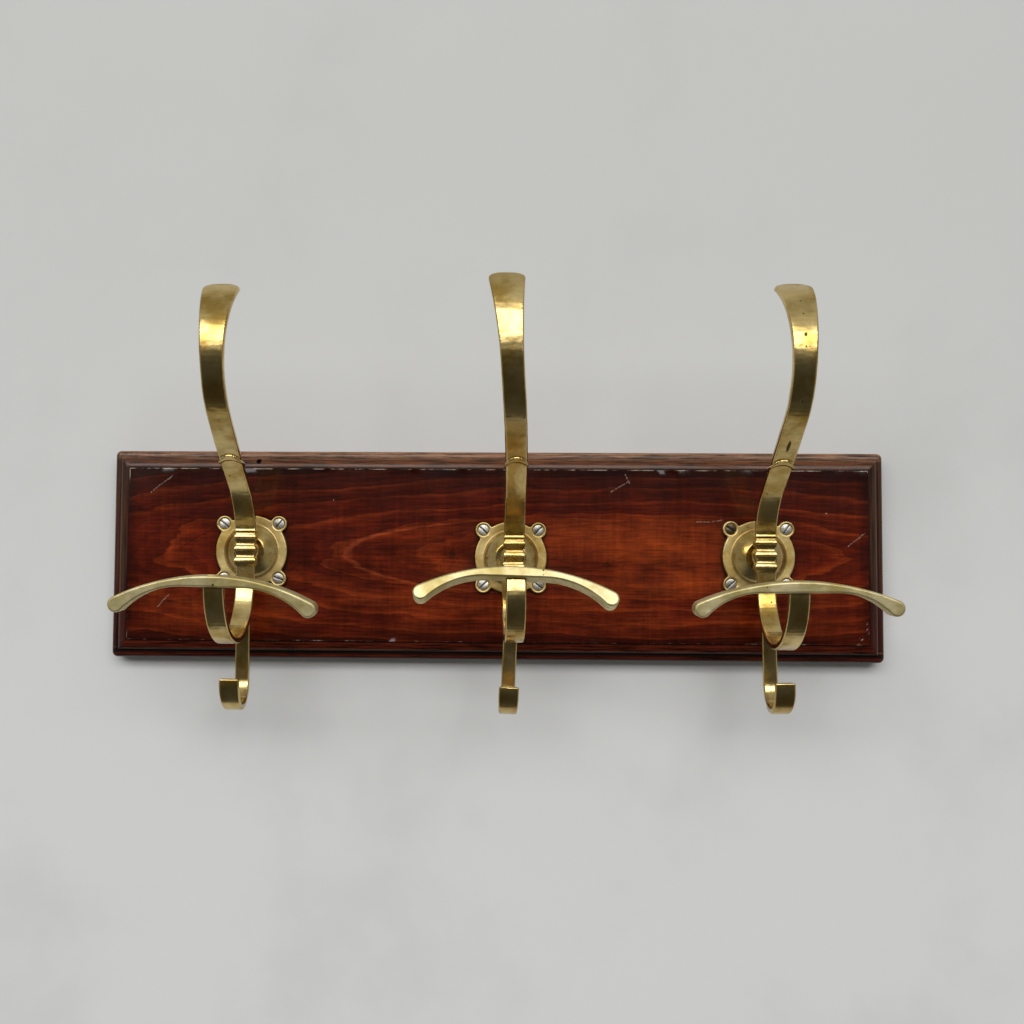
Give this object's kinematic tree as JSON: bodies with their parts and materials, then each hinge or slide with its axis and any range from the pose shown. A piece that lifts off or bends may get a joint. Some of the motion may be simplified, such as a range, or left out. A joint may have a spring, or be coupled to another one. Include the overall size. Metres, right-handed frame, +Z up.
{
  "type": "wall coat rack",
  "caption": "Wall coat rack: a moulded dark hardwood board carrying cast brass hat-and-coat hooks, each with a tall swan-neck hat arm, a crossbar and a small lower hook.",
  "frame": {"origin": "middle of the board's flat back, on the wall", "axes": "+X along the board to the right as seen from the front, +Y into the wall, +Z up; the hooks reach out along -Y"},
  "size_m": [0.5, 0.1254, 0.2534],
  "materials": {
    "mahogany": "French-polished, worn at the edges",
    "brass": "satin-polished and tarnished in the recesses",
    "screw_steel": "dull, worn"
  },
  "bodies": {
    "root": {"backboard": "mahogany", "rose_left": "brass", "hook_left": "brass", "crossbar_left": "brass", "rose_centre": "brass", "hook_centre": "brass", "crossbar_centre": "brass", "rose_right": "brass", "hook_right": "brass", "crossbar_right": "brass", "rose_screws": "screw_steel"}
  },
  "joints": []
}
